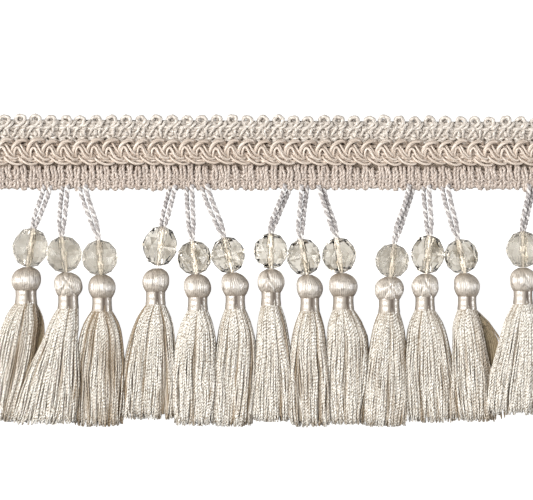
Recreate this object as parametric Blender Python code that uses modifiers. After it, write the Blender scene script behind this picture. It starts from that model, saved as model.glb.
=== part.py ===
"""A cut length of beaded tassel fringe, lying flat.

The heading is a woven tape with three trimmings worked on its face: a scroll gimp whose picots
make the top edge, a raised centre braid, and a ribbed gimp along the bottom. From its lower edge
hang groups of three twisted cord loops, each threaded through a cut bead to a floss tassel.

Metres, +Z up. X runs along the heading, Y from the tassels' hems up to the picots, and Z = 0 is
the surface that the fringe lies on. The origin is the middle of its footprint.
"""

import math
from collections import namedtuple

import bmesh
import bpy
import numpy as np
from mathutils import Matrix, Vector

MM = 0.001
GAP = 0.35 * MM  # between pieces that touch in the real trim

# Heading
LOOPS = 42
LOOP_PITCH = 4.54 * MM
LENGTH = LOOPS * LOOP_PITCH
HEADING_LOW = 23.8 * MM
HEADING_HIGH = 46.9 * MM
DRAW_IN = 0.045  # how much narrower the right end lies than the left
TAPE_THICK = 1.0 * MM
TAPE_MARGIN = 0.9 * MM  # from the tape's edges to the gimps' loops
FACE = TAPE_THICK + 0.3 * MM  # underside of what is worked on the tape
RIB_TOP = 31.1 * MM
BRAID_LOW = 31.5 * MM
BRAID_HIGH = 40.0 * MM
SCROLL_LOW = 40.4 * MM
PICOT_DEPTH = 1.5 * MM
SCROLL_RISE = 1.7 * MM
BRAID_RISE = 2.8 * MM
RIB_RISE = 1.6 * MM
STATIONS_PER_LOOP = 4

# Hangers: two plies side by side, twisted
PLY_REACH = 1.15 * MM
PLY_HALF = 0.5 * MM
PLY_WAIST = 0.28 * MM
HANGER_ROOT_Z = 1.7 * MM
HANGER_STEPS = 9
TWIST_PER_STEP = math.radians(50)
HANGER_RUN_IN = 0.9 * MM  # straight cord before a bead

# Beads
BEAD_SIDES = 10
BEAD_HOLE = 1.75 * MM
BEAD_END = 0.92  # half length along the hole, in bead radii
BEAD_SHOULDER = (0.78, 0.63)  # radius and height, in bead radii
BEAD_BELT = 0.21  # half width of the belt of flats, in bead radii

# Tassels
BODY_SIDES = 10
HEAD_HALF = 3.5 * MM
NECK_BOTTOM = 7.6 * MM  # below the head's centre
BELLY_DROP = 9.0 * MM  # from the neck down to where the skirt is fullest
CROWN = 5.2 * MM  # from the neck down to where the locks part
CROWN_FULL = 0.74  # how far the crown has spread there, from the neck's width to the belly's
BELLY_THICK = 6.2 * MM
HEM_THICK = 3.8 * MM
LOCKS_ACROSS = 7
LOCK_LAYERS = 2
LOCK_ROOT = 1.5 * MM  # how far a lock starts inside the crown
ROOT_SPREAD = (0.72, 0.70)  # the locks' roots, as a part of the crown's width and thickness
RAGGED = 0.9 * MM  # how unevenly the hem is cut

# One row a tassel, in millimetres: where its hanger leaves the heading, its bead, its head,
# and the left and right edges of the skirt where it is fullest and at the hem.
Tassel = namedtuple(
    "Tassel",
    "root_x bead_x bead_y bead_d head_x head_y head_w belly_l belly_r hem_l hem_r hem_y",
)
TASSELS = [
    Tassel(-75.9, -81.1, 6.7, 10.2, -82.2, -2.6, 8.7, -90.2, -77.6, -94.0, -86.3, -45.3),
    Tassel(-70.7, -70.8, 4.7, 10.2, -69.6, -4.2, 8.3, -77.0, -67.1, -85.7, -68.3, -46.2),
    Tassel(-65.6, -60.1, 3.7, 10.2, -59.5, -4.8, 8.0, -66.5, -53.1, -67.8, -54.0, -46.8),
    Tassel(-38.5, -42.1, 7.2, 10.0, -43.5, -3.0, 7.9, -51.0, -37.9, -53.4, -38.4, -44.7),
    Tassel(-33.5, -31.9, 3.7, 9.7, -30.9, -4.7, 8.0, -37.2, -25.5, -37.9, -27.0, -46.5),
    Tassel(-29.0, -21.8, 4.5, 9.7, -19.7, -4.2, 8.0, -24.8, -13.9, -26.5, -15.2, -46.8),
    Tassel(-4.0, -9.1, 5.7, 9.7, -9.0, -3.2, 7.9, -13.2, -4.0, -14.6, -2.6, -45.3),
    Tassel(1.0, 0.8, 3.9, 9.7, 2.6, -4.9, 7.7, -2.7, 7.2, -2.1, 8.1, -46.9),
    Tassel(5.9, 11.3, 4.4, 9.7, 12.6, -4.4, 8.4, 7.8, 20.1, 8.6, 18.1, -46.2),
    Tassel(33.1, 27.2, 2.8, 9.7, 26.3, -5.4, 8.5, 20.7, 31.3, 18.6, 30.9, -46.8),
    Tassel(37.4, 37.8, 4.7, 9.7, 37.0, -4.6, 7.9, 31.8, 44.0, 31.4, 46.4, -45.6),
    Tassel(43.0, 47.8, 4.1, 9.7, 49.6, -4.4, 7.6, 45.6, 58.5, 46.9, 54.9, -45.3),
    Tassel(69.0, 66.2, 6.2, 9.7, 66.3, -2.8, 7.8, 59.7, 72.0, 55.4, 71.7, -43.2),
    Tassel(74.1, 76.5, 3.9, 9.7, 77.4, -4.8, 8.0, 72.6, 83.7, 72.2, 83.7, -46.5),
    Tassel(78.9, 86.9, 4.7, 9.7, 88.5, -4.2, 8.0, 84.3, 93.6, 84.2, 93.9, -45.6),
]

# The turned part of a tassel: drop below the head's centre, in half heights, and radius, in
# head radii. The last row is where the binding of the neck starts.
HEAD_PROFILE = [(-1.0, 0.34), (-0.78, 0.68), (-0.3, 0.95), (0.2, 1.0), (0.72, 0.88), (1.0, 0.74)]
NECK_RADIUS = 0.78  # of the head's
# The crown: part of its length, and part of the way from the neck's size to its full size.
CROWN_SPREAD = [(0.15, 0.25), (0.55, 0.7), (1.0, 1.0)]


def clear_scene():
    for old in list(bpy.data.objects):
        bpy.data.objects.remove(old)


def new_collection(name):
    made = bpy.data.collections.new(name)
    bpy.context.scene.collection.children.link(made)
    return made


def new_material(name, colour, roughness, transmission=0.0):
    made = bpy.data.materials.new(name)
    made.use_nodes = True
    shader = made.node_tree.nodes["Principled BSDF"]
    shader.inputs["Base Color"].default_value = (*colour, 1.0)
    shader.inputs["Roughness"].default_value = roughness
    shader.inputs["Metallic"].default_value = 0.0
    shader.inputs["Transmission Weight"].default_value = transmission
    made.diffuse_color = (*colour, 1.0)
    return made


def loft(rings):
    """Points and faces of a closed solid through rings of equal point counts, ends capped."""
    count, sides = rings.shape[:2]
    along = np.arange(count - 1)[:, None] * sides
    here = np.arange(sides)
    after = (here + 1) % sides
    quads = np.stack(
        [along + here, along + after, along + sides + after, along + sides + here], axis=-1
    )
    caps = [list(here[::-1]), list(here + (count - 1) * sides)]
    return rings.reshape(-1, 3), quads.reshape(-1, 4).tolist() + caps


def mesh_of(name, lofts):
    """One mesh of one or more lofts, with its faces turned outwards."""
    points, faces = [], []
    for ring_points, ring_faces in lofts:
        start = sum(len(p) for p in points)
        points.append(ring_points)
        faces += [[start + i for i in face] for face in ring_faces]
    mesh = bpy.data.meshes.new(name)
    mesh.from_pydata(np.concatenate(points).tolist(), [], faces)
    work = bmesh.new()
    work.from_mesh(mesh)
    bmesh.ops.recalc_face_normals(work, faces=work.faces[:])
    work.to_mesh(mesh)
    work.free()
    return mesh


def add_object(name, data, collection, material=None):
    made = bpy.data.objects.new(name, data)
    collection.objects.link(made)
    if material:
        data.materials.append(material)
    return made


def hide_helper(helper):
    helper.hide_render = True
    helper.display_type = "WIRE"


def drawn_in(x, y):
    """The heading lies a little narrower towards its right end."""
    part = x / LENGTH + 0.5
    return HEADING_LOW + (y - HEADING_LOW) * (1 - DRAW_IN * part)


def heading_tape(material, collection):
    x = np.array([-LENGTH / 2, LENGTH / 2])[:, None]
    y = np.array([HEADING_LOW, HEADING_LOW, HEADING_HIGH, HEADING_HIGH])
    y = y + np.array([1, 1, -1, -1]) * TAPE_MARGIN
    z = np.array([0, TAPE_THICK, TAPE_THICK, 0])
    rings = np.stack(np.broadcast_arrays(x, drawn_in(x, y), z), axis=-1)
    return add_object("heading_tape", mesh_of("heading_tape", [loft(rings)]), collection, material)


def worked_band(name, rows_of, material, collection):
    """A trimming along the tape, lofted through a section for each station of its loops.

    rows_of takes the place within a loop, from 0 to 1, and gives the section's rows: for each,
    how far up the heading it lies and how far above the tape.
    """
    stations = np.arange(LOOPS * STATIONS_PER_LOOP + 1)
    x = stations * LOOP_PITCH / STATIONS_PER_LOOP - LENGTH / 2
    place = (stations % STATIONS_PER_LOOP) / STATIONS_PER_LOOP
    rows = rows_of(place)
    y = np.stack([np.broadcast_to(row[0], x.shape) for row in rows], axis=1)
    z = np.stack([np.broadcast_to(row[1], x.shape) for row in rows], axis=1)
    x = np.broadcast_to(x[:, None], y.shape)
    rings = np.stack([x, drawn_in(x, y), FACE + z], axis=-1)
    return add_object(name, mesh_of(name, [loft(rings)]), collection, material)


def scroll_rows(place):
    """Round picots along the top edge, over crossed stems."""
    arch = 1 - np.abs(2 * place - 1) ** 2.2
    wave = np.cos(2 * np.pi * place)
    width = HEADING_HIGH - SCROLL_LOW
    return [
        (SCROLL_LOW + 0.06 * width * arch, 0 * place),
        (SCROLL_LOW + 0.24 * width, SCROLL_RISE * (0.8 + 0.2 * wave)),
        (SCROLL_LOW + 0.5 * width, SCROLL_RISE * (0.62 + 0.1 * wave)),
        (SCROLL_LOW + 0.74 * width, SCROLL_RISE * (0.78 - 0.22 * wave)),
        (HEADING_HIGH - PICOT_DEPTH * (1 - arch), 0 * place),
    ]


def braid_rows(place):
    """Two rows of loops that lean against each other over a raised middle."""
    upper = np.cos(2 * np.pi * (place - 0.25))
    lower = np.cos(2 * np.pi * (place + 0.25))
    beat = np.cos(4 * np.pi * place)
    width = BRAID_HIGH - BRAID_LOW
    return [
        (BRAID_LOW + 0.05 * width * (1 - lower), 0 * place),
        (BRAID_LOW + 0.26 * width, BRAID_RISE * (0.72 + 0.16 * lower)),
        (BRAID_LOW + 0.5 * width, BRAID_RISE * (0.9 + 0.1 * beat)),
        (BRAID_LOW + 0.74 * width, BRAID_RISE * (0.72 + 0.16 * upper)),
        (BRAID_HIGH - 0.05 * width * (1 - upper), 0 * place),
    ]


def rib_rows(place):
    """Upright ribs, two to a loop, turning back on themselves at the lower edge."""
    rib = np.abs(np.sin(2 * np.pi * place))
    width = RIB_TOP - HEADING_LOW
    return [
        (HEADING_LOW + 0.1 * width * (1 - rib), 0 * place),
        (HEADING_LOW + 0.2 * width, RIB_RISE * (0.5 + 0.5 * rib)),
        (HEADING_LOW + 0.86 * width, RIB_RISE * (0.5 + 0.5 * rib)),
        (RIB_TOP + 0 * place, 0 * place),
    ]


def ply_section(collection):
    """The hangers' section: two plies side by side, drawn in between them."""
    curve = bpy.data.curves.new("ply_section", "CURVE")
    curve.dimensions = "2D"
    outline = [
        (PLY_REACH, -PLY_HALF),
        (0, -PLY_WAIST),
        (-PLY_REACH, -PLY_HALF),
        (-PLY_REACH, PLY_HALF),
        (0, PLY_WAIST),
        (PLY_REACH, PLY_HALF),
    ]
    spline = curve.splines.new("POLY")
    spline.points.add(len(outline) - 1)
    for point, (x, y) in zip(spline.points, outline):
        point.co = (x, y, 0, 1)
    spline.use_cyclic_u = True
    section = add_object("ply_section", curve, collection)
    hide_helper(section)
    return section


def bead_place(row):
    """A bead's centre, its radius and the way its hole runs, level and towards the head."""
    radius = row.bead_d * MM / 2
    height = radius * math.cos(math.pi / BEAD_SIDES)
    centre = Vector((row.bead_x * MM, row.bead_y * MM, height))
    axis = Vector((row.head_x - row.bead_x, row.head_y - row.bead_y, 0)).normalized()
    return centre, radius, axis


def head_half_height(row):
    """Half of the head's height, or less where its bead sits close above it."""
    to_bead = math.hypot(row.head_x - row.bead_x, row.head_y - row.bead_y)
    return min(HEAD_HALF, (to_bead - BEAD_END * row.bead_d / 2) * MM - GAP)


def hanger(name, row, section, material, collection):
    """A twisted cord from the heading's lower edge, through the bead, to the tassel's head."""
    centre, radius, axis = bead_place(row)
    to_head = math.hypot(row.head_x - row.bead_x, row.head_y - row.bead_y) * MM
    start = Vector((row.root_x * MM, HEADING_LOW - GAP, HANGER_ROOT_Z))
    entry = centre - axis * (radius * BEAD_END + HANGER_RUN_IN)
    reach = (entry - start).length
    ahead = start + Vector((0, -0.4 * reach, 0))
    before = entry - axis * 0.4 * reach
    route = []
    for step in range(HANGER_STEPS + 1):
        t = step / HANGER_STEPS
        s = 1 - t
        route.append(start * s**3 + ahead * 3 * s * s * t + before * 3 * s * t * t + entry * t**3)
    route.append(centre + axis * (to_head - head_half_height(row) - GAP))
    curve = bpy.data.curves.new(name, "CURVE")
    curve.dimensions = "3D"
    curve.twist_mode = "Z_UP"
    curve.bevel_mode = "OBJECT"
    curve.bevel_object = section
    curve.use_fill_caps = True
    spline = curve.splines.new("POLY")
    spline.points.add(len(route) - 1)
    for step, (point, place) in enumerate(zip(spline.points, route)):
        point.co = (*place, 1)
        point.tilt = TWIST_PER_STEP * min(step, HANGER_STEPS)
    return add_object(name, curve, collection, material)


def bead_mesh(radius, material):
    """The turned outline of a bead: down its outside and back up through its hole."""
    shoulder, height = (part * radius for part in BEAD_SHOULDER)
    profile = [
        (BEAD_HOLE, BEAD_END * radius),
        (shoulder, height),
        (radius, BEAD_BELT * radius),
        (radius, -BEAD_BELT * radius),
        (shoulder, -height),
        (BEAD_HOLE, -BEAD_END * radius),
    ]
    mesh = bpy.data.meshes.new("bead")
    edges = [(i, (i + 1) % len(profile)) for i in range(len(profile))]
    mesh.from_pydata([(r, 0, z) for r, z in profile], edges, [])
    mesh.materials.append(material)
    return mesh


def bead(name, row, mesh, collection):
    """A cut bead lying on one of its flats, with its hole level."""
    centre, _, axis = bead_place(row)
    made = add_object(name, mesh, collection)
    across = Matrix.Rotation(-math.pi / BEAD_SIDES, 3, axis) @ Vector((0, 0, -1))
    turn = Matrix((across, axis.cross(across), axis)).transposed()
    made.matrix_world = Matrix.Translation(centre) @ turn.to_4x4()
    screw = made.modifiers.new("turn", "SCREW")
    screw.steps = screw.render_steps = BEAD_SIDES
    screw.use_merge_vertices = True
    screw.merge_threshold = 0.00001
    return made


def section_ring(x, y, z, half_width, half_thick, boxiness):
    """A ring in an upright plane across the tassel, flat where it meets the surface."""
    angle = 2 * np.pi * np.arange(BODY_SIDES) / BODY_SIDES
    power = 2 / boxiness
    across = np.sign(np.cos(angle)) * np.abs(np.cos(angle)) ** power
    up = np.sign(np.sin(angle)) * np.abs(np.sin(angle)) ** power
    height = np.maximum(z + half_thick * up, 0)
    return np.stack([x + half_width * across, np.full(BODY_SIDES, y), height], axis=-1)


def crown_end(row):
    """Where the locks part: the crown's middle, how far up it is, half its width and thickness."""
    neck = row.head_w * MM / 2 * NECK_RADIUS
    belly_x = (row.belly_l + row.belly_r) / 2 * MM
    belly_half = (row.belly_r - row.belly_l) / 2 * MM
    x = row.head_x * MM + (belly_x - row.head_x * MM) * CROWN / BELLY_DROP
    half_width = neck + (belly_half - neck) * CROWN_FULL
    return x, row.head_y * MM - NECK_BOTTOM - CROWN, half_width, BELLY_THICK / 2


def tassel_body(row):
    """Head, bound neck and the crown of the skirt, as one loft from round to flat."""
    radius = row.head_w * MM / 2
    head_x, head_y = row.head_x * MM, row.head_y * MM
    half_height = head_half_height(row)
    axis_z = radius * math.cos(math.pi / BODY_SIDES)
    rings = []
    for drop, girth in HEAD_PROFILE:
        lean = max(0, -drop) * half_height * (row.bead_x - row.head_x) / (row.bead_y - row.head_y)
        y = head_y - drop * half_height
        rings.append(section_ring(head_x + lean, y, axis_z, radius * girth, radius * girth, 2))
    neck = radius * NECK_RADIUS
    rings.append(section_ring(head_x, head_y - NECK_BOTTOM, axis_z, neck, neck, 2))
    end_x, end_y, end_half, end_thick = crown_end(row)
    for part, fullness in CROWN_SPREAD:
        x = head_x + (end_x - head_x) * part
        y = head_y - NECK_BOTTOM - CROWN * part
        z = axis_z + (end_thick - axis_z) * part
        half_width = neck + (end_half - neck) * fullness
        half_thick = neck + (end_thick - neck) * fullness
        rings.append(section_ring(x, y, z, half_width, half_thick, 2 + 2 * part))
    return loft(np.array(rings))


def lock_rings(row, column, layer, seed):
    """One lock of the skirt: a tapering four-sided strand, its lower layer level on the surface."""
    middle, crown_y, half, half_thick = crown_end(row)
    root_half = half * ROOT_SPREAD[0]
    root_thick = 2 * half_thick * ROOT_SPREAD[1]
    root_floor = half_thick - root_thick / 2
    belly_y = row.head_y * MM - NECK_BOTTOM - BELLY_DROP
    hem_y = row.hem_y * MM + RAGGED * (0.5 + 0.5 * math.sin(7.3 * seed))
    stations = [
        (crown_y + LOCK_ROOT, middle - root_half, middle + root_half, root_floor, root_thick),
        (belly_y, row.belly_l * MM, row.belly_r * MM, 0, BELLY_THICK * 0.96),
        (hem_y, row.hem_l * MM, row.hem_r * MM, 0, HEM_THICK),
    ]
    rings = []
    for y, left, right, floor, thick in stations:
        pitch = (right - left) / LOCKS_ACROSS
        x0 = left + column * pitch + GAP / 2
        x1 = x0 + pitch - GAP
        layer_thick = (thick - GAP * (LOCK_LAYERS - 1)) / LOCK_LAYERS
        z0 = floor + layer * (layer_thick + GAP)
        z1 = z0 + layer_thick
        inset = 0.18 * (x1 - x0) * layer
        rings.append([(x0, y, z0), (x1, y, z0), (x1 - inset, y, z1), (x0 + inset, y, z1)])
    return loft(np.array(rings))


def tassel(name, number, row, material, collection, helpers):
    body = add_object(name, mesh_of(name, [tassel_body(row)]), collection, material)
    locks = [
        lock_rings(row, column, layer, number * 31 + column * 5 + layer * 2)
        for column in range(LOCKS_ACROSS)
        for layer in range(LOCK_LAYERS)
    ]
    skirt = add_object(f"skirt_{number:02d}", mesh_of(name + "_locks", locks), helpers, material)
    hide_helper(skirt)
    join = body.modifiers.new("fuse locks", "BOOLEAN")
    join.operation = "UNION"
    join.solver = "EXACT"
    join.object = skirt
    return body


def smooth(made, angle=35):
    made.data.shade_smooth()
    made.data.set_sharp_from_angle(angle=math.radians(angle))


def main():
    clear_scene()
    fringe = new_collection("beaded_tassel_fringe")
    helpers = new_collection("helpers")
    tape_cloth = new_material("tape_cloth", (0.47, 0.38, 0.31), 0.85)
    gimp_cord = new_material("gimp_cord", (0.62, 0.53, 0.45), 0.5)
    braid_cord = new_material("braid_cord", (0.66, 0.56, 0.47), 0.42)
    hanger_cord = new_material("hanger_cord", (0.74, 0.69, 0.62), 0.45)
    bead_acrylic = new_material("bead_acrylic", (0.80, 0.77, 0.70), 0.08, transmission=0.6)
    tassel_floss = new_material("tassel_floss", (0.72, 0.65, 0.53), 0.38)

    heading_tape(tape_cloth, fringe)
    smooth(worked_band("scroll_gimp", scroll_rows, gimp_cord, fringe), 60)
    smooth(worked_band("centre_braid", braid_rows, braid_cord, fringe), 60)
    smooth(worked_band("ribbed_gimp", rib_rows, gimp_cord, fringe), 60)

    section = ply_section(helpers)
    bead_meshes = {}
    for number, row in enumerate(TASSELS, start=1):
        hanger(f"hanger_{number:02d}", row, section, hanger_cord, fringe)
        if row.bead_d not in bead_meshes:
            bead_meshes[row.bead_d] = bead_mesh(row.bead_d * MM / 2, bead_acrylic)
        bead(f"bead_{number:02d}", row, bead_meshes[row.bead_d], fringe)
        smooth(tassel(f"tassel_{number:02d}", number, row, tassel_floss, fringe, helpers))


main()
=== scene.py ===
# %% [markdown]
# # A beaded tassel fringe, dressed
# The measured model already has every piece of the trim as a plain solid. This lesson keeps those
# solids for their places and sizes, and puts the real yarns on them: cords, floss, cut beads and
# more than a hundred strands in each tassel. One unit is a metre, X runs along the heading, Y from
# the hems up to the picots, and Z = 0 is the table.

# %% Load the measured model
import math

import bpy
import numpy as np
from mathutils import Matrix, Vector


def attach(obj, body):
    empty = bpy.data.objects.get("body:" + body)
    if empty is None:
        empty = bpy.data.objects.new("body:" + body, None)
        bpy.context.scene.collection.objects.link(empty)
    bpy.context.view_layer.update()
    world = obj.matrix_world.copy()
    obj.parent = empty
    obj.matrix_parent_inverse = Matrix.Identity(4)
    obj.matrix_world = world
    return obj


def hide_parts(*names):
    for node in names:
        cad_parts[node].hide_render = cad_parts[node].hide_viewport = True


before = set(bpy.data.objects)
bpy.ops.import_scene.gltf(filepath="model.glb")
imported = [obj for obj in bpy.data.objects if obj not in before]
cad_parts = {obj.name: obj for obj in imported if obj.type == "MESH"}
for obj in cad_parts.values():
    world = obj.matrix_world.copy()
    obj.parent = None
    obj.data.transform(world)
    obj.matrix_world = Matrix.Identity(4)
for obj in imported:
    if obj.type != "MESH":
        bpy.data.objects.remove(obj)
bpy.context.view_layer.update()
MM = 0.001

# %% [markdown]
# ## Surfaces from arrays
# Nearly everything here is a yarn: a round section carried along a path. A Blender curve with a
# bevel could do that one cord at a time, but a tassel has a hundred of them, so one function
# sweeps a whole family of paths at once. Each tube also carries two coordinates for its material,
# once round and the length along in millimetres, and a tone, so that no two strands match.


# %% Directions and lengths
def unit(vectors):
    """Each vector divided by its own length."""
    return vectors / np.maximum(np.linalg.norm(vectors, axis=-1, keepdims=True), 1e-12)


def square_to(paths):
    """Two directions across each path: its own direction crossed with Z, and that crossed with it."""
    ahead = unit(np.gradient(paths, axis=-2))
    sideways = unit(np.cross(ahead, (0.0, 0.0, 1.0)))
    return sideways, np.cross(sideways, ahead)


def lengths_along(paths):
    """For each point of a path, the sum of all the steps that lead to it from the path's start."""
    step = np.linalg.norm(np.diff(paths, axis=-2), axis=-1)
    return np.concatenate([np.zeros((*step.shape[:-1], 1)), np.cumsum(step, axis=-1)], axis=-1)


print("lengths along three slanting steps", lengths_along(np.ones((4, 3)).cumsum(axis=0)).round(2))


# %% Close rings of points into skins
def closed(points, along, tone):
    """Four-sided faces join each ring to the next, and one face caps each end of a skin.

    u is the part of a turn round the ring and v the length along. points is skins x rings x
    sides x 3, along is skins x rings, and tone fits skins x rings x sides.
    """
    family, rings, sides = points.shape[:3]
    first = (np.arange(family) * rings * sides)[:, None, None]
    here = np.arange(sides)[None, None]
    ring = first + (np.arange(rings - 1) * sides)[None, :, None]
    after = (here + 1) % sides
    quads = np.stack([ring + here, ring + sides + here, ring + sides + after, ring + after], axis=-1)
    u0 = np.broadcast_to(here / sides, quads.shape[:3])
    u1 = u0 + 1 / sides
    v0, v1 = (np.broadcast_to(v[..., None], quads.shape[:3]) for v in (along[:, :-1], along[:, 1:]))
    corner = np.stack([u0, v0, u0, v1, u1, v1, u1, v0], axis=-1)
    start = first[:, 0] + np.arange(sides)
    end = start[:, ::-1] + (rings - 1) * sides
    cap_u = np.broadcast_to(np.arange(sides) / sides, (family, sides))
    start_uv = np.stack([cap_u, np.broadcast_to(along[:, :1], cap_u.shape)], axis=-1)
    end_uv = np.stack([cap_u[:, ::-1], np.broadcast_to(along[:, -1:], cap_u.shape)], axis=-1)
    faces = [(quads.reshape(-1, 4), corner.reshape(-1, 4, 2)), (start, start_uv), (end, end_uv)]
    return points.reshape(-1, 3), faces, np.broadcast_to(tone, points.shape[:3]).reshape(-1)


def skin(points, tone=0.5):
    """One closed skin from a grid of rings x sides. Its length runs along the rings' middles."""
    along = lengths_along(points.mean(axis=1)) / MM
    return closed(points[None], along[None], tone)


print("a skin of 3 rings of 8 points has", len(skin(np.ones((3, 8, 3)))[0]), "points")


# %% Sweep a family of tubes
def sweep(paths, radii, sides, tone=0.5, slide=0.0):
    """Point = path + radius * (cosine of the angle * sideways + sine of the angle * upwards).

    paths is tubes x stations x 3, radii and tone fit tubes x stations, and slide, which moves the
    twist along, fits tubes.
    """
    family, stations = paths.shape[:2]
    sideways, upwards = square_to(paths)
    angle = 2 * np.pi * np.arange(sides) / sides
    around = np.cos(angle)[:, None] * sideways[:, :, None] + np.sin(angle)[:, None] * upwards[:, :, None]
    radii = np.broadcast_to(radii, (family, stations))
    points = paths[:, :, None] + radii[:, :, None, None] * around
    along = lengths_along(paths) / MM + np.broadcast_to(slide, (family,))[:, None]
    tone = np.asarray(tone, float)
    tone = tone if tone.ndim == 2 else tone.reshape(-1, 1)
    return closed(points, along, tone[:, :, None])


print("two tubes of 5 stations and 6 sides have", len(sweep(np.ones((2, 5, 3)), 1.0, 6)[0]), "points")


# %% Put surfaces into one mesh and set it in the frame
def dress(name, surfaces, node, materials, smooth=True):
    """Joins surfaces into one mesh object at the origin, which takes the place of a node.

    Where there are several materials, each surface has the one in its own place in the list.
    """
    points = np.concatenate([s[0] for s in surfaces])
    tones = np.concatenate([s[2] for s in surfaces])
    corners, uvs, counts, finish = [], [], [], []
    first = 0
    for place, (vertices, faces, _tones) in enumerate(surfaces):
        for indices, uv in faces:
            corners.append((indices + first).reshape(-1))
            uvs.append(uv.reshape(-1, 2))
            counts.append(np.full(len(indices), indices.shape[1]))
            finish.append(np.full(len(indices), min(place, len(materials) - 1)))
        first += len(vertices)
    corners, uvs, counts, finish = (np.concatenate(part) for part in (corners, uvs, counts, finish))
    starts = np.concatenate([[0], np.cumsum(counts)[:-1]])
    mesh = bpy.data.meshes.new(name)
    mesh.vertices.add(len(points))
    mesh.vertices.foreach_set("co", points.astype(np.float32).reshape(-1))
    mesh.loops.add(len(corners))
    mesh.loops.foreach_set("vertex_index", corners.astype(np.int32))
    mesh.polygons.add(len(counts))
    mesh.polygons.foreach_set("loop_start", starts.astype(np.int32))
    mesh.polygons.foreach_set("material_index", finish.astype(np.int32))
    mesh.polygons.foreach_set("use_smooth", np.full(len(counts), smooth))
    mesh.update(calc_edges=True)
    mesh.uv_layers.new(name="yarn").data.foreach_set("uv", uvs.astype(np.float32).reshape(-1))
    mesh.attributes.new("tone", "FLOAT", "POINT").data.foreach_set("value", tones.astype(np.float32))
    for material in materials:
        mesh.materials.append(material)
    piece = placed(name, mesh)
    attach(piece, "root")
    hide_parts(node)
    return piece


def placed(name, data):
    """A new object, put into the scene."""
    made = bpy.data.objects.new(name, data)
    bpy.context.scene.collection.objects.link(made)
    return made


def triangles(piece):
    """The sum over its faces of their corners less two."""
    return int(sum(len(p.vertices) - 2 for p in piece.data.polygons))


# %% [markdown]
# ## Yarn as a material
# A plied yarn is bright on the back of each ply and dark in the groove between two, where shade
# falls. Modelling every ply of every strand would take millions of faces. A cheaper way is a
# stripe that winds round the tube, with painted shade in the groove and a painted highlight on
# the back: the place round it times the number of plies, plus the length times the turns a
# millimetre. One node group works that out for all yarns, and each material gives it its own
# colours, plies and twist.


# %% Small helpers for node trees
def new_material(name):
    """A material with its node tree and its Principled shader."""
    made = bpy.data.materials.new(name)
    made.use_nodes = True
    return made, made.node_tree, made.node_tree.nodes["Principled BSDF"]


def add_node(tree, kind, **values):
    """A new node, with its own settings."""
    node = tree.nodes.new(kind)
    for key, value in values.items():
        setattr(node, key, value)
    return node


def plug(tree, socket, term):
    """Gives a socket a number, a colour or another node's output."""
    if isinstance(term, tuple):
        socket.default_value = (*term, 1.0)
    elif isinstance(term, (int, float)):
        socket.default_value = term
    else:
        tree.links.new(term, socket)


def maths(tree, operation, *terms):
    """One Math node on one to three terms."""
    node = add_node(tree, "ShaderNodeMath", operation=operation)
    for socket, term in zip(node.inputs, terms):
        plug(tree, socket, term)
    return node.outputs[0]


def mixed(tree, part, first, second):
    """A colour part of the way from the first to the second."""
    node = add_node(tree, "ShaderNodeMix", data_type="RGBA")
    for place, term in ((0, part), (6, first), (7, second)):
        plug(tree, node.inputs[place], term)
    return node.outputs[2]


def clouds(tree, where, scale, detail):
    """Noise in soft clouds from 0 to 1, 0.5 on average, at a place given by another node."""
    node = add_node(tree, "ShaderNodeTexNoise")
    node.inputs["Scale"].default_value = scale
    node.inputs["Detail"].default_value = detail
    tree.links.new(where, node.inputs["Vector"])
    return node.outputs[0]


def bumped(tree, shader, height, distance, strength=1.0):
    """Turns the surface where the height changes, by up to a distance in millimetres."""
    bump = add_node(tree, "ShaderNodeBump")
    bump.inputs["Strength"].default_value = strength
    bump.inputs["Distance"].default_value = distance * MM
    tree.links.new(height, bump.inputs["Height"])
    tree.links.new(bump.outputs[0], shader.inputs["Normal"])


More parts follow.
